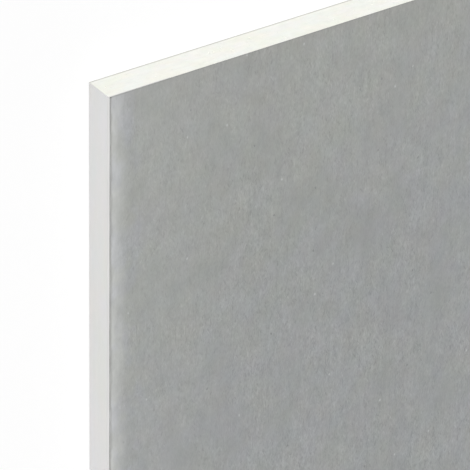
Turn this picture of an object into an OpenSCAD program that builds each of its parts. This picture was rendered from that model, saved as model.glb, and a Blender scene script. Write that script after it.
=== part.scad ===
// Square-edge drywall sheet, lying flat with its grey side up.
// An aerated gypsum core is cast between two papers. The ivory liner covers the
// underside, is folded up both long edges and ends in a hem on the grey side.
// The grey liner is lapped over the hems. The two short ends are sawn square,
// so the core shows there between the cut edges of the papers.
// Millimetres. The origin is the centre of the underside, with +X across the
// sheet, +Y along its paper-bound edges and +Z up through its thickness.

/* [Sheet] */
// Length along the paper-bound edges
sheet_length = 2400; // [600:1:3600]
// Width from bound edge to bound edge
sheet_width = 1200; // [300:1:1250]
// Thickness over both liners
sheet_thickness = 12.5; // [6:0.5:25]

/* [Ivory liner] */
// Thickness of the ivory paper
ivory_paper = 0.35; // [0.2:0.05:0.6]
// Inside radius of the folds along the bound edges
crease_radius = 0.15; // [0.05:0.05:2]
// Width of each hem, from the bound edge to the end of the paper
hem_width = 25; // [10:1:60]

/* [Grey liner] */
// Thickness of the grey paper
grey_paper = 0.35; // [0.2:0.05:0.6]
// Strip of hem left bare between a fold and the grey liner's edge
bare_strip = 0.1; // [0:0.1:5]

/* [Hidden] */
// Sides of a full circle
$fn = 64;
// How far a cut runs past the face that it opens
overrun = 1;
// Outside radius of the folds
fold_radius = crease_radius + ivory_paper;
// Height of the lap, where the grey liner lies on the hems and the core
lap_height = sheet_thickness - grey_paper;
// Height of the core's ledges, which the hems lie on
ledge_height = lap_height - ivory_paper;
// Width of core between the two hems
hem_gap = sheet_width - 2 * hem_width;
// Width of the grey liner
grey_width = sheet_width - 2 * (fold_radius + bare_strip);

// Rectangle standing on the X axis, centred across it
module centred_rectangle(width, height) {
    translate([-width / 2, 0])
        square([width, height]);
}

// Rectangle of that kind with all four corners rounded
module rounded_rectangle(width, height, radius) {
    centred_rectangle(width - 2 * radius, height);
    translate([0, radius])
        centred_rectangle(width, height - 2 * radius);
    for (x = [-1, 1] * (width / 2 - radius), z = [radius, height - radius])
        translate([x, z])
            circle(r = radius);
}

// Cross-section of what the ivory liner wraps, taken a depth inside its outer face
module wrapped_section(depth) {
    translate([0, depth])
        rounded_rectangle(
            sheet_width - 2 * depth,
            lap_height - 2 * depth,
            fold_radius - depth
        );
}

// Runs a cross-section along the whole sheet
module along_sheet() {
    rotate([90, 0, 0])
        linear_extrude(height = sheet_length, center = true)
            children();
}

// Gypsum core, stepped down at each long edge by the thickness of the hem
module gypsum_core() {
    color("ivory")
        along_sheet() {
            wrapped_section(ivory_paper);
            translate([0, fold_radius])
                centred_rectangle(hem_gap, lap_height - fold_radius);
        }
}

// Ivory paper under the core, up both long edges and over them as hems
module ivory_liner() {
    color("gainsboro")
        along_sheet()
            difference() {
                wrapped_section(0);
                wrapped_section(ivory_paper);
                translate([0, ledge_height])
                    centred_rectangle(hem_gap, ivory_paper + overrun);
            }
}

// Grey paper over the core and both hems
module grey_liner() {
    color("darkgray")
        along_sheet()
            translate([0, lap_height])
                centred_rectangle(grey_width, grey_paper);
}

gypsum_core();
ivory_liner();
grey_liner();
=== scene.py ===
"""Looks of a square-edge drywall sheet: its two papers, its gypsum ends, the studio and the camera."""

import math
import random
from collections import namedtuple

import bmesh
import bpy
from bpy.props import FloatProperty, FloatVectorProperty, IntProperty, PointerProperty
from mathutils import Matrix, Quaternion, Vector, noise


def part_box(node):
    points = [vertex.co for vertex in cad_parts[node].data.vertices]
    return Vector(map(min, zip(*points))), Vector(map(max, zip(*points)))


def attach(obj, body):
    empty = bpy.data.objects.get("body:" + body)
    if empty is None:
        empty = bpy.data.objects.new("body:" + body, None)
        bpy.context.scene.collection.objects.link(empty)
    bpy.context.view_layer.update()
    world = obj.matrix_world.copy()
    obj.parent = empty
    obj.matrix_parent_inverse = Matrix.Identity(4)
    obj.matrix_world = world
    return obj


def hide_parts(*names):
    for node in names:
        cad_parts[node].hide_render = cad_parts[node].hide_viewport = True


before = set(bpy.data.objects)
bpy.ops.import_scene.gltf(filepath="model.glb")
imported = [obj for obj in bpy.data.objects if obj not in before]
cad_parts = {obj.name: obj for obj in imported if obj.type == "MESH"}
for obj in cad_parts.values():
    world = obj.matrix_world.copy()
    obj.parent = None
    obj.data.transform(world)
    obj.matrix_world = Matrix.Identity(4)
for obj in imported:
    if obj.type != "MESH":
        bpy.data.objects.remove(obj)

bl_info = {
    "name": "Drywall Sheet",
    "version": (1, 0, 0),
    "blender": (4, 5, 0),
    "location": "3D View > Sidebar > Drywall",
    "description": "Papers, gypsum ends and studio of a square-edge drywall sheet",
    "category": "Object",
}

BODY = "root"
MM = 0.001
X_AXIS, Y_AXIS, Z_AXIS = Matrix.Identity(3)
SIDES = (-1, 1)
# Two places nearer than this are the same
SAME_PLACE = 0.001 * MM
# A point nearer than this to a cut lies on it
CUT_TOLERANCE = 0.0001 * MM
# Two directions with a greater cosine between them are the same
SAME_WAY = 0.99
# Faces that meet at a greater angle show a sharp edge
SHARP_ANGLE = math.radians(30)

# The box of the whole sheet and of each layer, in metres
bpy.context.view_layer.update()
GREY_LOW, GREY_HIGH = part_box("grey_liner")
IVORY_LOW, IVORY_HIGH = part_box("ivory_liner")
CORE_LOW, CORE_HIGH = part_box("gypsum_core")
IVORY_THICKNESS = CORE_LOW.z - IVORY_LOW.z
# How far the flat of each hem lies from the middle of the sheet, at the hem's end and at its fold
HEM_PLACES = [
    abs(vertex.co.x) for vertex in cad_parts["ivory_liner"].data.vertices
    if vertex.co.z > IVORY_HIGH.z - SAME_PLACE
]
HEM_END, HEM_FOLD = min(HEM_PLACES), max(HEM_PLACES)

# Steps of the mesh along the ivory liner, and sides of the folds, of the creases in the core and of the rims
IVORY_STEP = 12 * MM
FOLD_SEGMENTS = 8
CREASE_SEGMENTS = 4
RIM_SEGMENTS = 2
# Slow and quick drift of the grey liner's long edges: length, share of the wander and layer of the noise
Drift = namedtuple("Drift", "length share layer")
EDGE_DRIFTS = (Drift(45 * MM, 0.75, 0), Drift(11 * MM, 0.25, 4))
# How far in from the edges the drift is felt, and where the liner is cut for it, as shares of that
DRIFT_REACH = 8 * MM
DRIFT_CUT_SHARES = (0.25, 1, 5)
# How far in the edges lie on the whole, as a share of the wander, and the band that they keep to
EDGE_INSET_SHARE = 0.3
EDGE_BAND = 1 * MM
# Height of the gypsum's facets as a share of the grain cell, and their sideways shift as one of their sides
FACET_HEIGHT_SHARE = 0.7
FACET_SHIFT_SHARE = 0.3
# Smallest and largest radius of the air pits, as shares of a facet's shortest side
PIT_RADIUS_SHARES = (0.15, 0.4)
# Width of each lower ring of a pit and its drop below the ring before it, as shares of the pit's radius
PIT_RING_SHARES = ((0.8, 0.6), (0.5, 0.4))
# Margins round a pit and between its rings before they are rounded, and cuts in each side of its rim
PIT_MARGIN = 0.1 * MM
RING_MARGIN = PIT_MARGIN / 10
PIT_CUTS = 2

# Side of the square picture, in pixels, and width of the camera's sensor, in millimetres
PICTURE_SIDE = 470
SENSOR_WIDTH = 36
# How far the camera sees, as a share of the floor's side
SIGHT_SHARE = 4
WHITE = (1.0, 1.0, 1.0, 1.0)
# Sockets of a Mix node for colours, by number because those for numbers and vectors have the same names
MIX_SHARE, MIX_FIRST, MIX_SECOND, MIX_RESULT = 0, 6, 7, 2


def millimetres(*lengths):
    """Lengths given in millimetres, as a vector in metres."""
    return Vector(lengths) * MM


# Sizes of the features of each surface: across the sheet, along it and up through it
GREY_FIBRES = millimetres(0.48, 1.6, 0.48)
GREY_FELT = millimetres(1.5, 3, 1.5)
GREY_GRAIN = millimetres(1.1, 10.5, 1.1)
GREY_PATCHES = millimetres(6, 8.5, 6)
GREY_BLOTCHES = millimetres(16, 23, 16)
GREY_CLOUDS = millimetres(210, 340, 210)
GREY_BANDS = millimetres(140, 3300, 140)
GREY_CASTS = millimetres(11.5, 16, 11.5)
RUB_BORDER = millimetres(25, 24, 25)
RUB_SCUFFS = millimetres(2.4, 7.5, 2.4)
RUB_SMOKE = millimetres(9, 15, 9)
BRUISE_SHADE_NICKS = millimetres(3.8, 9, 3.8)
IVORY_FIBRES = millimetres(0.9, 3.8, 0.9)
IVORY_STREAKS = millimetres(2.4, 170, 2.4)
IVORY_CLOUDS = millimetres(80, 250, 25)
IVORY_SOIL = millimetres(3.3, 22, 3.3)
IVORY_CASTS = millimetres(17, 25, 12)
GYPSUM_MOTTLE = millimetres(4.2, 4.2, 2.4)
GYPSUM_DRAGS = millimetres(7.7, 1.1, 0.77)
GYPSUM_GRAIN = millimetres(0.43, 0.43, 0.43)
GYPSUM_CASTS = millimetres(11, 11, 7.7)

# Single fibres: the room that each has, its length and width, and its greatest turn from the sheet's length
Fibres = namedtuple("Fibres", "spacing length width turn")
HAIRS = Fibres(1.7 * MM, 1.7 * MM, 0.42 * MM, math.radians(46))
SHIVES = Fibres(3.1 * MM, 3 * MM, 0.6 * MM, math.radians(32))
# Round specks: the room that each has, its radius, the share of rooms that hold one, and their dimensions
Specks = namedtuple("Specks", "spacing radius share dimensions")
PALE_FLECKS = Specks(8 * MM, 0.45 * MM, 0.07, "2D")
DARK_FLECKS = Specks(9 * MM, 0.45 * MM, 0.06, "2D")
PORES = Specks(1.5 * MM, 0.32 * MM, 0.3, "3D")
# Share of a fibre's half width, of its half length and of a speck's radius within which its tone is full
FIBRE_BODY_SHARE = 0.2
FIBRE_TIPS_SHARE = 0.6
SPECK_FULL_SHARE = 0.4
# How far the flecks' outlines stray, the size of their lobes, and how they are drawn out along the sheet
FLECK_STRAY = 0.7 * MM
FLECK_LOBE = 0.67 * MM
FLECK_STRETCH = (1.0, 0.6, 1.0)
# Size of the pinkish and greenish patches, as a share of that of the bluish and yellowish ones
PINK_SIZE_SHARE = 0.7

# Reach of the rusty cast and of the saw's fraying from the grey liner's cut ends
RUST_REACH = 8 * MM
FRAY_REACH = 0.5 * MM
# Reach of the soil and painted shade from the ivory liner's folds, and depth of its sawn ends
FOLD_SHADE_REACH = 0.8 * MM
SAWN_DEPTH = 0.12 * MM
# Height of the painted shade along the foot of the core's ends, where they meet the floor
FOOT_SHADE_HEIGHT = 0.65 * MM
# Share of its width or reach within which each kind of wear or painted shade is full
RUB_FULL_SHARE = 0.07
BRUISE_SHADE_FULL_SHARE = 0.27
SMOKE_FULL_SHARE = 0.6
AGED_FULL_SHARE = 0.47
FRAY_FULL_SHARE = 0.2
FOLD_SHADE_FULL_SHARE = 1 / 3
# Stray of the border of the bruised line and its painted shade, as a share of its width
BRUISE_SHADE_STRAY_SHARE = 2.3
# Width of the strip with bluish patches, as a share of the rub's width
SMOKE_WIDTH_SHARE = 1.5
# Direction in which the yellowing is measured from a corner: across the sheet and along it
AGED_DIRECTION = (0.53, 0.85)
# Heights between which painted shade near the floor comes in on the sawn ivory paper, from none to full, as
# shares of its thickness
FLOOR_SHADE_SHARES = (1.7, 1.15)
# Heights of the surfaces' relief
GREY_NAP = 0.04 * MM
IVORY_NAP = 0.03 * MM
GYPSUM_GRIT = 0.08 * MM

# Tints that a colour is multiplied by
PLAIN = WHITE
YELLOWISH = (1.0, 1.0, 0.976, 1.0)
BLUISH = (1.0, 1.0, 1.024, 1.0)
GREENISH = (0.985, 1.0, 0.995, 1.0)
PINKISH = (1.015, 1.0, 1.005, 1.0)
SMOKY = (1.0, 1.0, 1.045, 1.0)
RUSTY = (1.014, 0.996, 0.992, 1.0)
AGED = (1.0, 1.0, 0.966, 1.0)


class SheetProperties(bpy.types.PropertyGroup):
    """Sizes and colours of the sheet's papers and core."""

    hem_width: FloatProperty(
        name="Hem width",
        description="Width of the ivory liner's hems, beneath the grey liner",
        default=IVORY_HIGH.x - HEM_END,
        unit="LENGTH",
    )
    fold_radius: FloatProperty(
        name="Fold radius",
        description="Outside radius of the ivory liner's folds along the bound edges",
        default=IVORY_HIGH.x - HEM_FOLD,
        unit="LENGTH",
    )
    edge_wander: FloatProperty(
        name="Edge wander",
        description="How far the grey liner's long edges stray from a straight line",
        default=0.22 * MM,
        unit="LENGTH",
    )
    edge_step: FloatProperty(
        name="Edge step",
        description="Distance between points along the grey liner's long edges",
        default=3 * MM,
        unit="LENGTH",
    )
    rim_radius: FloatProperty(
        name="Rim radius",
        description="Radius of the soft upper rim of the grey liner's long edges",
        default=0.1 * MM,
        unit="LENGTH",
    )
    rub_width: FloatProperty(
        name="Rub width",
        description="How far the grey liner is rubbed pale, in from the bound edges",
        default=11 * MM,
        unit="LENGTH",
    )
    rub_stray: FloatProperty(
        name="Rub stray",
        description="How far the ragged border of the rub strays",
        default=8.5 * MM,
        unit="LENGTH",
    )
    # The bruised line also carries painted shade along the grey liner's long edges
    bruise_shade_width: FloatProperty(
        name="Bruise width",
        description="Width of the bruised line along the grey liner's long edges",
        default=1.2 * MM,
        unit="LENGTH",
    )
    handled_width: FloatProperty(
        name="Handled width",
        description="How far handling has paled the grey liner, in from the bound edges",
        default=85 * MM,
        unit="LENGTH",
    )
    handled_length: FloatProperty(
        name="Handled length",
        description="How far handling has paled the grey liner, in from the cut ends",
        default=110 * MM,
        unit="LENGTH",
    )
    aged_reach: FloatProperty(
        name="Aged reach",
        description="How far the grey liner is yellowed, in from the corners of the sheet",
        default=148 * MM,
        unit="LENGTH",
    )
    end_recess: FloatProperty(
        name="End recess",
        description="How far the gypsum lies back from the papers at the cut ends",
        default=0.05 * MM,
        unit="LENGTH",
    )
    grain_cell: FloatProperty(
        name="Grain cell",
        description="Size of the facets that roughen the gypsum at the cut ends",
        default=2 * MM,
        unit="LENGTH",
    )
    grain_depth: FloatProperty(
        name="Grain depth",
        description="How deep the facets' corners lie, at the most",
        default=0.06 * MM,
        unit="LENGTH",
    )
    pit_share: FloatProperty(
        name="Pit share",
        description="Share of the facets on a cut end that hold an air pit",
        default=0.05,
        subtype="FACTOR",
    )
    seed: IntProperty(
        name="Seed",
        description="Start of the random draws for the facets and the air pits",
        default=7,
    )
    grey_colour: FloatVectorProperty(
        name="Grey paper",
        description="Colour of the grey liner away from its edges",
        default=(0.324, 0.333, 0.331),
        subtype="COLOR",
    )
    rubbed_colour: FloatVectorProperty(
        name="Rubbed paper",
        description="Colour of the grey liner where it is rubbed pale along the bound edges",
        default=(0.536, 0.545, 0.528),
        subtype="COLOR",
    )
    # Also the colour of the painted shade along the grey liner's long edges
    bruised_and_shaded_colour: FloatVectorProperty(
        name="Bruised paper",
        description="Colour of the grey liner where it is bruised or sawn, along its very edges",
        default=(0.277, 0.274, 0.265),
        subtype="COLOR",
    )
    ivory_colour: FloatVectorProperty(
        name="Ivory paper",
        description="Colour of the ivory liner",
        default=(0.803, 0.80, 0.79),
        subtype="COLOR",
    )
    # Also the colour of the painted shade on the ivory liner's sawn ends near the floor
    sawn_and_shaded_colour: FloatVectorProperty(
        name="Sawn ivory paper",
        description="Colour of the ivory liner where it is sawn through, at the cut ends",
        default=(0.562, 0.56, 0.52),
        subtype="COLOR",
    )
    gypsum_colour: FloatVectorProperty(
        name="Gypsum",
        description="Colour of the freshly cut gypsum core",
        default=(0.902, 0.906, 0.849),
        subtype="COLOR",
    )


class StageProperties(bpy.types.PropertyGroup):
    """Floor, light and camera."""

    floor_size: FloatProperty(
        name="Floor size",
        description="Side of the square floor",
        default=80,
        unit="LENGTH",
    )
    floor_colour: FloatVectorProperty(
        name="Floor",
        description="Colour of the floor",
        default=(0.84, 0.84, 0.84),
        subtype="COLOR",
    )
    floor_lift: FloatProperty(
        name="Floor lift",
        description="Share of plain white in the floor as it is seen",
        default=0.45,
        subtype="FACTOR",
    )
    sky_strength: FloatProperty(
        name="Sky strength",
        description="Strength of the even light from all round",
        default=0.54,
    )
    key_strength: FloatProperty(
        name="Key strength",
        description="Irradiance of the soft key light",
        default=1.78,
    )
    key_softness: FloatProperty(
        name="Key softness",
        description="Angle that the key light spans in the sky",
        default=math.radians(50),
        subtype="ANGLE",
    )
    key_direction: FloatVectorProperty(
        name="Key direction",
        description="Direction from the sheet towards the key light",
        default=(-0.35, 0.55, 0.76),
        subtype="DIRECTION",
    )
    lens: FloatProperty(
        name="Lens",
        description="Focal length of the camera, in millimetres",
        default=300,
    )
    azimuth: FloatProperty(
        name="Azimuth",
        description="Turn of the camera round the sheet, from looking along +Y",
        default=math.radians(-137.55),
        subtype="ANGLE",
    )
    elevation: FloatProperty(
        name="Elevation",
        description="Height of the camera above the horizon",
        default=math.radians(44.06),
        subtype="ANGLE",
    )
    roll: FloatProperty(
        name="Roll",
        description="Turn of the camera about its own line of sight",
        default=math.radians(128.48),
        subtype="ANGLE",
    )
    distance: FloatProperty(
        name="Distance",
        description="Depth of the grey liner's corner in front of the camera",
        default=1.3114,
        unit="LENGTH",
    )
    corner_pixel: FloatVectorProperty(
        name="Corner pixel",
        description="Where the grey liner's corner lies in the picture, right and down from its top left",
        default=(110.12, 97.57),
        size=2,
    )


class Value:
    """A shader socket that can stand in a Python sum, which adds the Math nodes that it needs."""

    def __init__(self, shader, socket):
        self.shader = shader
        self.socket = socket

    def math(self, operation, *operands):
        """Result of a new Math node."""
        return self.shader.node("ShaderNodeMath", {"operation": operation}, dict(enumerate(operands)))

    def __add__(self, other):
        return self.math("ADD", self, other)

    def __radd__(self, other):
        return self.math("ADD", other, self)

    def __sub__(self, other):
        return self.math("SUBTRACT", self, other)

    def __rsub__(self, other):
        return self.math("SUBTRACT", other, self)

    def __mul__(self, other):
        return self.math("MULTIPLY", self, other)

    def __rmul__(self, other):
        return self.math("MULTIPLY", other, self)

    def __pow__(self, other):
        return self.math("POWER", self, other)

    def __rpow__(self, other):
        return self.math("POWER", other, self)

    def __lt__(self, other):
        return self.math("LESS_THAN", self, other)

    def __gt__(self, other):
        return self.math("LESS_THAN", other, self)

    def __abs__(self):
        return self.math("ABSOLUTE", self)

    def highest(self, other):
        """The greater of two values."""
        return self.math("MAXIMUM", self, other)

    def sine(self):
        """Sine of an angle."""
        return self.math("SINE", self)

    def cosine(self):
        """Cosine of an angle."""
        return self.math("COSINE", self)


class Shader:
    """A node tree that is written as expressions."""

    def __init__(self, owner):
        owner.use_nodes = True
        self.tree = owner.node_tree
        self.tree.nodes.clear()

    def node(self, kind, settings=None, sockets=None, output=0):
        """Adds a node, sets it up, fills its sockets by name or number and returns its output or outputs."""
        made = self.tree.nodes.new(kind)
        for name, value in (settings or {}).items():
            setattr(made, name, value)
        for key, value in (sockets or {}).items():
            if isinstance(value, Value):
                self.tree.links.new(value.socket, made.inputs[key])
            else:
                made.inputs[key].default_value = value
        if isinstance(output, tuple):
            return [Value(self, made.outputs[key]) for key in output]
        return Value(self, made.outputs[output]) if made.outputs else None

    def place(self):
        """Place on the piece, in metres."""
        return self.node("ShaderNodeTexCoord", output="Object")

    def parts(self, vector):
        """The three parts of a vector, as values."""
        return self.node("ShaderNodeSeparateXYZ", None, {0: vector}, (0, 1, 2))

    def vector(self, operation, *operands):
        """A sum on vectors."""
        return self.node("ShaderNodeVectorMath", {"operation": operation}, dict(enumerate(operands)))

    def shaken(self, vector, reach, size):
        """A vector shifted to and fro by noise with features of a size."""
        draw = self.node("ShaderNodeTexNoise", None, {"Vector": vector, "Scale": 1 / size}, "Color")
        shift = self.vector("SUBTRACT", draw, (0.5, 0.5, 0.5))
        return self.vector("MULTIPLY_ADD", shift, (reach, reach, reach), vector)

    def cloud(self, vector, size, detail=2.0, roughness=0.5):
        """Noise about zero, with features of a size along each axis."""
        sockets = {
            "Vector": self.vector("DIVIDE", vector, size),
            "Scale": 1.0,
            "Detail": detail,
            "Roughness": roughness,
        }
        return self.node("ShaderNodeTexNoise", None, sockets) - 0.5

    def cells(self, vector, kind, dimensions, outputs):
        """Cells of a loose grid with room for one fibre or speck each."""
        settings = {"voronoi_dimensions": dimensions}
        sockets = {"Vector": vector, "Scale": 1 / kind.spacing}
        return self.node("ShaderNodeTexVoronoi", settings, sockets, outputs)

    def specks(self, vector, kind):
        """Round specks: 1 inside and 0 outside."""
        apart, draw = self.cells(vector, kind, kind.dimensions, ("Distance", "Color"))
        size = kind.radius / kind.spacing
        return self.near(apart, size, SPECK_FULL_SHARE) * (self.parts(draw)[0] < kind.share)

    def fibres(self, vector, kind):
        """Single straight fibres: above zero if pale, below if dark."""
        centre, draw = self.cells(vector, kind, "2D", ("Position", "Color"))
        right, forward, _ = self.parts(self.vector("SUBTRACT", vector, centre))
        turn, shade, _ = self.parts(draw)
        angle = kind.turn * (2 * turn - 1)
        across = abs(right * angle.cosine() - forward * angle.sine())
        along = abs(right * angle.sine() + forward * angle.cosine())
        body = self.near(across, kind.width / 2, FIBRE_BODY_SHARE)
        tips = self.near(along, kind.length / 2, FIBRE_TIPS_SHARE)
        return body * tips * (2 * shade - 1)

    def ramp(self, value, start, end):
        """Smooth step from 0 at start to 1 at end."""
        sockets = {"Value": value, "From Min": start, "From Max": end}
        return self.node("ShaderNodeMapRange", {"interpolation_type": "SMOOTHSTEP"}, sockets)

    def near(self, distance, reach, full_share=0.0):
        """1 within a share of a reach, then smoothly down to 0 at the whole of it."""
        return self.ramp(distance, reach, full_share * reach)

    def mix(self, share, first, second, blend="MIX"):
        """Colour between two colours."""
        settings = {"data_type": "RGBA", "blend_type": blend, "clamp_factor": True}
        sockets = {MIX_SHARE: share, MIX_FIRST: first, MIX_SECOND: second}
        return self.node("ShaderNodeMix", settings, sockets, MIX_RESULT)

    def shaded(self, share, colour, spread):
        """Colour between a darker and a lighter version of a colour."""
        return self.mix(share, scaled(colour, 1 - spread), scaled(colour, 1 + spread))

    def tinted(self, colour, share, first, second):
        """A colour multiplied by a tint between two tints."""
        return self.mix(1.0, colour, self.mix(share, first, second), "MULTIPLY")

    def patchy(self, colour, vector, size, strength):
        """A colour with faint patches, some bluish or yellowish and some, smaller, pinkish or greenish."""
        blue = self.cloud(vector, size, roughness=0.6)
        pink = self.cloud(vector, PINK_SIZE_SHARE * size, roughness=0.6)
        colour = self.tinted(colour, 0.5 + strength * blue, YELLOWISH, BLUISH)
        return self.tinted(colour, 0.5 + strength * pink, GREENISH, PINKISH)

    def bump(self, relief, height, strength):
        """Normal of a surface with a relief of a height."""
        sockets = {"Height": relief, "Distance": height, "Strength": strength}
        return self.node("ShaderNodeBump", None, sockets)

    def surface(self, sockets):
        """Ends a material in one Principled shader."""
        shader = self.node("ShaderNodeBsdfPrincipled", None, sockets)
        self.node("ShaderNodeOutputMaterial", None, {"Surface": shader})

    def seen(self):
        """1 where a ray shows the surface itself or its mirror image, 0 where it gathers light."""
        kinds = ("Is Camera Ray", "Is Glossy Ray", "Is Transmission Ray")
        direct, mirrored, through = self.node("ShaderNodeLightPath", output=kinds)
        return direct.highest(mirrored).highest(through)


def solid(colour):
    """A colour with full alpha."""
    return (*colour, 1.0)


def scaled(colour, factor):
    """A lighter or darker version of a colour, with full alpha."""
    return solid([channel * factor for channel in colour])


def grey_weave(shader, place):
    """Felted fibres of the grey paper, and single pale and dark ones, about zero."""
    fibres = shader.cloud(place, GREY_FIBRES, roughness=0.55)
    felt = shader.cloud(place, GREY_FELT, roughness=0.6)
    grain = shader.cloud(place, GREY_GRAIN)
    hairs = shader.fibres(place, HAIRS)
    shives = shader.fibres(place, SHIVES)
    return 0.9 * fibres + 0.6 * felt + 0.4 * grain + 0.32 * hairs + 0.3 * shives


def grey_tone(shader, place, weave):
    """Lightness of the plain grey paper, mostly between 0 and 1."""
    patches = shader.cloud(place, GREY_PATCHES)
    blotches = shader.cloud(place, GREY_BLOTCHES)
    clouds = shader.cloud(place, GREY_CLOUDS, detail=4.0)
    bands = shader.cloud(place, GREY_BANDS, detail=3.0)
    uneven = 0.5 * patches + 0.33 * blotches + 0.45 * clouds + 0.34 * bands
    return 0.5 + weave * (1 + 2.5 * blotches) + uneven


def edge_wear_and_shade(shader, sheet, place, from_edge):
    """Pale rub along the bound edges, with a ragged border, and the bruised line at the very edge, which
    also carries painted shade where the liner's edge steps down.
    """
    border = shader.cloud(place, RUB_BORDER, detail=4.0, roughness=0.65)
    scuffs = shader.cloud(place, RUB_SCUFFS, detail=3.0, roughness=0.6)
    reach = shader.near(from_edge + sheet.rub_stray * border, sheet.rub_width, RUB_FULL_SHARE)
    rub = reach ** 2.0 * (0.8 + 1.4 * scuffs + 0.6 * border)
    nicks = shader.cloud(place, BRUISE_SHADE_NICKS, detail=3.0, roughness=0.6)
    stray = BRUISE_SHADE_STRAY_SHARE * sheet.bruise_shade_width
    line = shader.near(from_edge + stray * nicks, sheet.bruise_shade_width, BRUISE_SHADE_FULL_SHARE)
    return rub, line * (0.56 + 1.5 * nicks)


def rub_smoke(shader, sheet, place, from_edge):
    """Strength of the bluish patches on the rub and beside it."""
    strip = shader.near(from_edge, SMOKE_WIDTH_SHARE * sheet.rub_width, SMOKE_FULL_SHARE)
    return strip * (0.4 + 7.5 * shader.cloud(place, RUB_SMOKE, roughness=0.6))


def handling(shader, sheet, from_edge, from_end):
    """How far handling has paled the grey paper, towards its bound edges and its cut ends."""
    sides = shader.near(from_edge, sheet.handled_width) ** 2.0
    ends = shader.near(from_end, sheet.handled_length)
    return 0.145 * sides + 0.085 * ends


def yellowed(shader, sheet, colour, from_edge, from_end):
    """A colour yellowed round the corners of the sheet, and a little rusty along its cut ends."""
    across, along = AGED_DIRECTION
    age = shader.near(across * from_edge + along * from_end, sheet.aged_reach, AGED_FULL_SHARE)
    rust = shader.near(from_end, RUST_REACH)
    colour = shader.tinted(colour, age, PLAIN, AGED)
    return shader.tinted(colour, rust, PLAIN, RUSTY)


def flecked(shader, sheet, colour, place):
    """A colour with ragged flecks of paler and of darker grey, drawn out along the sheet."""
    ragged = shader.shaken(place, FLECK_STRAY, FLECK_LOBE)
    drawn_out = shader.vector("MULTIPLY", ragged, FLECK_STRETCH)
    pale = shader.specks(drawn_out, PALE_FLECKS)
    dark = shader.specks(drawn_out, DARK_FLECKS)
    colour = shader.mix(0.8 * pale, colour, scaled(sheet.grey_colour, 1.5))
    return shader.mix(0.9 * dark, colour, scaled(sheet.grey_colour, 0.7))


def grey_paper(sheet):
    """Recycled grey paper: fibres mostly along the sheet, flecks, and a pale rub along the bound edges."""
    material = bpy.data.materials.new("grey_paper")
    shader = Shader(material)
    place = shader.place()
    x, y, _ = shader.parts(place)
    from_edge = GREY_HIGH.x - abs(x)
    from_end = GREY_HIGH.y - abs(y)

    weave = grey_weave(shader, place)
    tone = grey_tone(shader, place, weave)
    rub, bruise_and_shade = edge_wear_and_shade(shader, sheet, place, from_edge)
    smoke = rub_smoke(shader, sheet, place, from_edge)
    held = handling(shader, sheet, from_edge, from_end)
    fray = shader.near(from_end, FRAY_REACH, FRAY_FULL_SHARE)

    colour = shader.shaded(tone, sheet.grey_colour, 0.2)
    colour = shader.patchy(colour, place, GREY_CASTS, 3.0)
    colour = yellowed(shader, sheet, colour, from_edge, from_end)
    colour = flecked(shader, sheet, colour, place)
    colour = shader.mix(held, colour, solid(sheet.rubbed_colour))
    colour = shader.mix(rub, colour, solid(sheet.rubbed_colour))
    colour = shader.tinted(colour, smoke, PLAIN, SMOKY)
    # Painted shade and bruising along the long edges, and fraying at the cut ends
    colour = shader.mix(bruise_and_shade + 0.45 * fray, colour, solid(sheet.bruised_and_shaded_colour))
    shader.surface({
        "Base Color": colour,
        "Roughness": 0.9 + 0.06 * weave - 0.08 * rub,
        "Specular IOR Level": 0.3,
        "Normal": shader.bump(weave, GREY_NAP, 0.6),
    })
    return material


def ivory_paper(sheet):
    """Smooth ivory paper with faint streaks along the sheet, soil and painted shade along its folds, and cut
    ends darker from sawing and, near the floor, from painted shade.
    """
    material = bpy.data.materials.new("ivory_paper")
    shader = Shader(material)
    place = shader.place()
    x, y, z = shader.parts(place)
    middle = IVORY_HIGH.z / 2
    inwards = IVORY_HIGH.x - abs(x)
    upwards = middle - abs(z - middle)
    from_fold = (inwards ** 2.0 + upwards ** 2.0) ** 0.5
    from_end = IVORY_HIGH.y - abs(y)

    fibres = shader.cloud(place, IVORY_FIBRES, roughness=0.55)
    streaks = shader.cloud(place, IVORY_STREAKS)
    clouds = shader.cloud(place, IVORY_CLOUDS, detail=3.0)
    tone = 0.5 + 0.35 * fibres + 0.3 * streaks + 0.35 * clouds
    grime = shader.ramp(shader.cloud(place, IVORY_SOIL, detail=3.0), -0.12, 0.16)
    # Painted shade and soil on the folds along the bound edges
    fold_soil_and_shade = shader.near(from_fold, FOLD_SHADE_REACH, FOLD_SHADE_FULL_SHARE) * (0.75 + 0.25 * grime)
    unshaded_height, shaded_height = (share * IVORY_THICKNESS for share in FLOOR_SHADE_SHARES)
    floor_shade = shader.ramp(z, unshaded_height, shaded_height)
    # The sawn ends are darker from sawing, and more so near the floor from painted shade
    sawn = shader.near(from_end, SAWN_DEPTH) * (0.3 + 0.7 * floor_shade)

    colour = shader.shaded(tone, sheet.ivory_colour, 0.07)
    colour = shader.patchy(colour, place, IVORY_CASTS, 2.8)
    colour = shader.mix(fold_soil_and_shade, colour, scaled(sheet.ivory_colour, 0.87))
    colour = shader.mix(sawn, colour, solid(sheet.sawn_and_shaded_colour))
    shader.surface({
        "Base Color": colour,
        "Roughness": 0.82 + 0.1 * fibres,
        "Specular IOR Level": 0.35,
        "Normal": shader.bump(fibres + 0.5 * streaks, IVORY_NAP, 0.5),
    })
    return material


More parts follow.
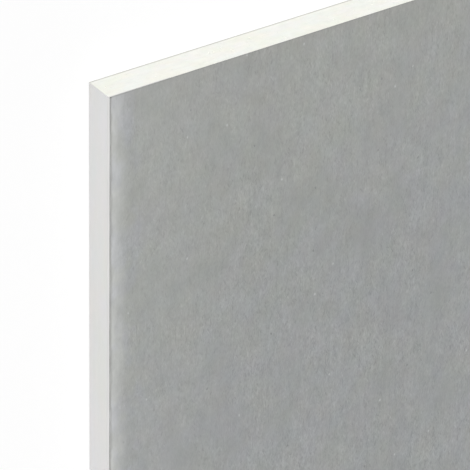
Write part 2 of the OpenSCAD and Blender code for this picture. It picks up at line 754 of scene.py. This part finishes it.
def gypsum(sheet):
    """Cut gypsum: chalky, cream white, faintly mottled, with fine air pores, painted shade in the pores, and
    painted shade towards its foot.
    """
    material = bpy.data.materials.new("gypsum")
    shader = Shader(material)
    place = shader.place()
    _, _, z = shader.parts(place)

    mottle = shader.cloud(place, GYPSUM_MOTTLE, detail=4.0, roughness=0.6)
    drags = shader.cloud(place, GYPSUM_DRAGS, roughness=0.55)
    grain = shader.cloud(place, GYPSUM_GRAIN, roughness=0.6)
    pores = shader.specks(place, PORES)
    foot_shade = shader.near(z - CORE_LOW.z, FOOT_SHADE_HEIGHT)
    # Painted shade: the cut end darker towards the floor
    rise = shader.ramp(z, CORE_LOW.z, CORE_HIGH.z)
    tone = 0.4 + 0.2 * rise + 0.9 * mottle + 0.5 * drags + 0.4 * grain
    relief = 0.5 * mottle + 0.6 * drags + 0.4 * grain - 0.6 * pores

    colour = shader.shaded(tone, sheet.gypsum_colour, 0.075)
    colour = shader.patchy(colour, place, GYPSUM_CASTS, 4.5)
    # Painted shade along the foot, where the end meets the floor
    colour = shader.mix(0.7 * foot_shade, colour, scaled(sheet.gypsum_colour, 0.82))
    # Painted shade inside the air pores
    colour = shader.mix(0.35 * pores, colour, scaled(sheet.gypsum_colour, 0.8))
    shader.surface({
        "Base Color": colour,
        "Roughness": 0.93 + 0.1 * grain,
        "Specular IOR Level": 0.25,
        "Normal": shader.bump(relief, GYPSUM_GRIT, 0.5),
    })
    return material


def floor_white(stage):
    """Pale matt floor that looks white and still takes the sheet's shadow."""
    material = bpy.data.materials.new("floor_white")
    shader = Shader(material)
    seen = shader.seen()
    colour = shader.mix(seen, solid(stage.floor_colour), WHITE)
    matt = shader.node("ShaderNodeBsdfDiffuse", None, {"Color": colour})
    white = shader.node("ShaderNodeEmission", None, {"Color": WHITE, "Strength": 1.0})
    mixed = shader.node("ShaderNodeMixShader", None, {0: seen * stage.floor_lift, 1: matt, 2: white})
    shader.node("ShaderNodeOutputMaterial", None, {"Surface": mixed})
    return material


def add_box(mesh, low, high):
    """Adds a box between two corners."""
    place = Matrix.LocRotScale((low + high) / 2, None, high - low)
    bmesh.ops.create_cube(mesh, size=1, matrix=place)


def cut_across(mesh, axis, places):
    """Cuts the whole mesh at places along an axis."""
    for place in places:
        everything = mesh.verts[:] + mesh.edges[:] + mesh.faces[:]
        bmesh.ops.bisect_plane(
            mesh, geom=everything, dist=CUT_TOLERANCE, plane_co=axis * place, plane_no=axis,
        )


def edges_along(mesh, axis):
    """Edges that run along an axis."""
    found = []
    for edge in mesh.edges:
        run = (edge.verts[1].co - edge.verts[0].co).normalized()
        if abs(run.dot(axis)) > SAME_WAY:
            found.append(edge)
    return found


def faces_between_hems(mesh, hem_end):
    """Faces that look up, between the ends of the two hems."""
    return [
        face for face in mesh.faces
        if face.normal.z > SAME_WAY and abs(face.calc_center_median().x) < hem_end
    ]


def divide_along(mesh, axis, step):
    """Divides every edge along an axis into steps, with the faces between them."""
    edges = edges_along(mesh, axis)
    longest = max(edge.calc_length() for edge in edges)
    bmesh.ops.subdivide_edges(mesh, edges=edges, cuts=round(longest / step) - 1, use_grid_fill=True)


def round_edges(mesh, edges, radius, segments):
    """Rounds edges to a radius."""
    bmesh.ops.bevel(
        mesh, geom=edges, offset=radius, offset_type="OFFSET", affect="EDGES",
        segments=segments, profile=0.5, material=-1,
    )


def wander(y, side):
    """Drift of the grey liner's edge on one side, along the sheet, from -1 to 1."""
    return sum(
        drift.share * noise.noise(Vector((side, y / drift.length, drift.layer)))
        for drift in EDGE_DRIFTS
    )


def finish_piece(name, mesh, material, node):
    """Makes a mesh the piece that stands for a node of the frame."""
    bmesh.ops.recalc_face_normals(mesh, faces=mesh.faces)
    data = bpy.data.meshes.new(name)
    mesh.to_mesh(data)
    mesh.free()
    data.shade_smooth()
    data.set_sharp_from_angle(angle=SHARP_ANGLE)
    data.materials.append(material)
    piece = bpy.data.objects.new(name, data)
    bpy.context.scene.collection.objects.link(piece)
    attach(piece, BODY)
    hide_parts(node)


class DRYWALL_OT_grey_liner(bpy.types.Operator):
    """Make the grey liner, with its wandering long edges"""

    bl_idname = "drywall.grey_liner"
    bl_label = "Grey liner"

    def execute(self, context):
        sheet = context.scene.drywall_sheet
        mesh = bmesh.new()
        add_box(mesh, GREY_LOW, GREY_HIGH)
        strips = [share * DRIFT_REACH for share in DRIFT_CUT_SHARES]
        cut_across(mesh, X_AXIS, [side * (GREY_HIGH.x - strip) for side in SIDES for strip in strips])
        divide_along(mesh, Y_AXIS, sheet.edge_step)
        for vert in mesh.verts:
            side = math.copysign(1, vert.co.x)
            nearness = max(0.0, 1 - (GREY_HIGH.x - abs(vert.co.x)) / DRIFT_REACH)
            vert.co.x -= side * nearness * sheet.edge_wander * (EDGE_INSET_SHARE + wander(vert.co.y, side))
        rims = [edge for edge in edges_along(mesh, Y_AXIS) if all(map(self.is_on_rim, edge.verts))]
        round_edges(mesh, rims, sheet.rim_radius, RIM_SEGMENTS)
        finish_piece("grey_paper_face", mesh, grey_paper(sheet), "grey_liner")
        return {"FINISHED"}

    def is_on_rim(self, vert):
        """Whether a point lies on the upper rim of a long edge."""
        return vert.co.z > GREY_HIGH.z - SAME_PLACE and abs(vert.co.x) > GREY_HIGH.x - EDGE_BAND


class DRYWALL_OT_ivory_liner(bpy.types.Operator):
    """Make the ivory liner, folded round both long edges"""

    bl_idname = "drywall.ivory_liner"
    bl_label = "Ivory liner"

    def execute(self, context):
        sheet = context.scene.drywall_sheet
        mesh = bmesh.new()
        add_box(mesh, IVORY_LOW, IVORY_HIGH)
        round_edges(mesh, edges_along(mesh, Y_AXIS), sheet.fold_radius, FOLD_SEGMENTS)
        ends = [face for face in mesh.faces if abs(face.normal.y) > SAME_WAY]
        bmesh.ops.delete(mesh, geom=ends, context="FACES")
        hem_end = IVORY_HIGH.x - sheet.hem_width
        cut_across(mesh, X_AXIS, [side * hem_end for side in SIDES])
        bmesh.ops.delete(mesh, geom=faces_between_hems(mesh, hem_end), context="FACES")
        divide_along(mesh, Y_AXIS, IVORY_STEP)
        bmesh.ops.recalc_face_normals(mesh, faces=mesh.faces)
        bmesh.ops.solidify(mesh, geom=mesh.faces[:], thickness=IVORY_THICKNESS)
        finish_piece("ivory_paper_wrap", mesh, ivory_paper(sheet), "ivory_liner")
        return {"FINISHED"}


class DRYWALL_OT_gypsum_core(bpy.types.Operator):
    """Make the gypsum core, with rough, pitted ends"""

    bl_idname = "drywall.gypsum_core"
    bl_label = "Gypsum core"

    def execute(self, context):
        sheet = context.scene.drywall_sheet
        draw = random.Random(sheet.seed)
        ledge = CORE_HIGH.z - IVORY_THICKNESS
        mesh = self.plain_core(sheet, ledge)
        columns = round((CORE_HIGH.x - CORE_LOW.x) / sheet.grain_cell)
        rows = round((ledge - CORE_LOW.z) / (FACET_HEIGHT_SHARE * sheet.grain_cell))
        width = (CORE_HIGH.x - CORE_LOW.x) / columns
        height = (ledge - CORE_LOW.z) / rows
        cut_across(mesh, Z_AXIS, [CORE_LOW.z + height * row for row in range(1, rows)])
        cut_across(mesh, X_AXIS, [CORE_LOW.x + width * column for column in range(1, columns)])
        self.roughen(mesh, draw, width, height, sheet.grain_depth)
        self.pit(mesh, draw, sheet.pit_share)
        finish_piece("gypsum_board_core", mesh, gypsum(sheet), "gypsum_core")
        return {"FINISHED"}

    def plain_core(self, sheet, ledge):
        """The core with smooth ends: a block up to the ledges under the hems, and a plateau between them."""
        mesh = bmesh.new()
        recess = Y_AXIS * sheet.end_recess
        add_box(mesh, CORE_LOW + recess, Vector((CORE_HIGH.x, CORE_HIGH.y, ledge)) - recess)
        round_edges(mesh, edges_along(mesh, Y_AXIS), sheet.fold_radius - IVORY_THICKNESS, CREASE_SEGMENTS)
        hem_end = IVORY_HIGH.x - sheet.hem_width
        cut_across(mesh, X_AXIS, [side * hem_end for side in SIDES])
        plateau = faces_between_hems(mesh, hem_end)
        raised = bmesh.ops.extrude_face_region(mesh, geom=plateau)
        lifted = [item for item in raised["geom"] if isinstance(item, bmesh.types.BMVert)]
        bmesh.ops.translate(mesh, verts=lifted, vec=Z_AXIS * IVORY_THICKNESS)
        bmesh.ops.delete(mesh, geom=plateau, context="FACES")
        return mesh

    def is_inside(self, vert):
        """Whether a point lies within a cut end, away from its rim."""
        return all(abs(face.normal.y) > SAME_WAY for face in vert.link_faces)

    def roughen(self, mesh, draw, width, height, depth):
        """Shifts the points inside each cut end, a little sideways and a little inwards."""
        for vert in filter(self.is_inside, mesh.verts):
            vert.co.x += draw.uniform(-FACET_SHIFT_SHARE, FACET_SHIFT_SHARE) * width
            vert.co.z += draw.uniform(-FACET_SHIFT_SHARE, FACET_SHIFT_SHARE) * height
            vert.co.y -= math.copysign(draw.uniform(0, depth), vert.co.y)

    def pit(self, mesh, draw, share):
        """Sinks small round air pits into some of the facets inside the cut ends."""
        facets = [face for face in mesh.faces if all(map(self.is_inside, face.verts))]
        pits = [face for face in facets if draw.random() < share]
        shortest = [min(edge.calc_length() for edge in face.edges) for face in pits]
        radii = [draw.uniform(*PIT_RADIUS_SHARES) * length for length in shortest]
        bmesh.ops.inset_individual(mesh, faces=pits, thickness=PIT_MARGIN)
        rims = [edge for face in pits for edge in face.edges]
        bmesh.ops.subdivide_edges(mesh, edges=rims, cuts=PIT_CUTS)
        self.shape_rings(pits, radii, width=1.0, drop=0.0)
        for width, drop in PIT_RING_SHARES:
            bmesh.ops.inset_individual(mesh, faces=pits, thickness=RING_MARGIN)
            self.shape_rings(pits, radii, width, drop)

    def shape_rings(self, pits, radii, width, drop):
        """Brings the rims of the pits' floors to circles and lowers them, by shares of each radius."""
        for face, radius in zip(pits, radii):
            centre = face.calc_center_median()
            for vert in face.verts:
                vert.co = centre + width * radius * (vert.co - centre).normalized()
                vert.co.y -= math.copysign(drop * radius, vert.co.y)


class DRYWALL_OT_stage(bpy.types.Operator):
    """Make the floor, the light and the camera"""

    bl_idname = "drywall.stage"
    bl_label = "Stage"

    def execute(self, context):
        stage = context.scene.drywall_stage
        context.scene.view_settings.view_transform = "Standard"
        self.floor(context.scene, stage)
        self.sky(context.scene, stage)
        self.key(context.scene, stage)
        self.camera(context.scene, stage)
        return {"FINISHED"}

    def floor(self, scene, stage):
        """A square floor under the sheet."""
        mesh = bmesh.new()
        bmesh.ops.create_grid(mesh, x_segments=1, y_segments=1, size=stage.floor_size / 2)
        data = bpy.data.meshes.new("floor")
        mesh.to_mesh(data)
        mesh.free()
        data.materials.append(floor_white(stage))
        floor = bpy.data.objects.new("floor", data)
        scene.collection.objects.link(floor)

    def sky(self, scene, stage):
        """Even light from all round, which looks white."""
        world = bpy.data.worlds.new("studio")
        shader = Shader(world)
        strength = stage.sky_strength + (1 - stage.sky_strength) * shader.seen()
        light = shader.node("ShaderNodeBackground", None, {"Color": WHITE, "Strength": strength})
        shader.node("ShaderNodeOutputWorld", None, {"Surface": light})
        scene.world = world

    def key(self, scene, stage):
        """Soft main light."""
        data = bpy.data.lights.new("key", "SUN")
        data.energy = stage.key_strength
        data.angle = stage.key_softness
        lamp = bpy.data.objects.new("key", data)
        lamp.rotation_mode = "QUATERNION"
        lamp.rotation_quaternion = Vector(stage.key_direction).to_track_quat("Z", "Y")
        scene.collection.objects.link(lamp)

    def camera(self, scene, stage):
        """Camera that sees the corner of the grey liner at its place in the picture."""
        data = bpy.data.cameras.new("camera")
        data.lens = stage.lens
        data.sensor_width = SENSOR_WIDTH
        data.clip_end = SIGHT_SHARE * stage.floor_size
        camera = bpy.data.objects.new("camera", data)
        level = math.cos(stage.elevation)
        away = Vector((
            math.sin(stage.azimuth) * level,
            -math.cos(stage.azimuth) * level,
            math.sin(stage.elevation),
        ))
        turn = (-away).to_track_quat("-Z", "Y") @ Quaternion(Z_AXIS, stage.roll)
        focal_pixels = stage.lens / SENSOR_WIDTH * PICTURE_SIDE
        right = (stage.corner_pixel[0] - PICTURE_SIDE / 2) / focal_pixels * stage.distance
        up = (PICTURE_SIDE / 2 - stage.corner_pixel[1]) / focal_pixels * stage.distance
        corner = Vector((GREY_LOW.x, GREY_HIGH.y, GREY_HIGH.z))
        camera.rotation_mode = "QUATERNION"
        camera.rotation_quaternion = turn
        camera.location = corner - turn @ Vector((right, up, -stage.distance))
        scene.collection.objects.link(camera)
        scene.camera = camera


class DRYWALL_PT_sheet(bpy.types.Panel):
    """Lists the sheet's pieces and its stage"""

    bl_idname = "DRYWALL_PT_sheet"
    bl_label = "Drywall sheet"
    bl_space_type = "VIEW_3D"
    bl_region_type = "UI"
    bl_category = "Drywall"

    def draw(self, context):
        for operator in OPERATORS:
            self.layout.operator(operator.bl_idname)
        for group in (context.scene.drywall_sheet, context.scene.drywall_stage):
            box = self.layout.box()
            for name in group.__annotations__:
                box.prop(group, name)


OPERATORS = (DRYWALL_OT_gypsum_core, DRYWALL_OT_ivory_liner, DRYWALL_OT_grey_liner, DRYWALL_OT_stage)
CLASSES = (SheetProperties, StageProperties, *OPERATORS, DRYWALL_PT_sheet)


def register():
    """Makes the operators, the panel and their properties known to Blender."""
    for each in CLASSES:
        bpy.utils.register_class(each)
    bpy.types.Scene.drywall_sheet = PointerProperty(type=SheetProperties)
    bpy.types.Scene.drywall_stage = PointerProperty(type=StageProperties)


def unregister():
    """Takes all of them out again."""
    del bpy.types.Scene.drywall_stage
    del bpy.types.Scene.drywall_sheet
    for each in reversed(CLASSES):
        bpy.utils.unregister_class(each)


def main():
    """Makes the sheet and its stage."""
    register()
    bpy.ops.drywall.gypsum_core()
    bpy.ops.drywall.ivory_liner()
    bpy.ops.drywall.grey_liner()
    bpy.ops.drywall.stage()


if __name__ == "__main__":
    main()
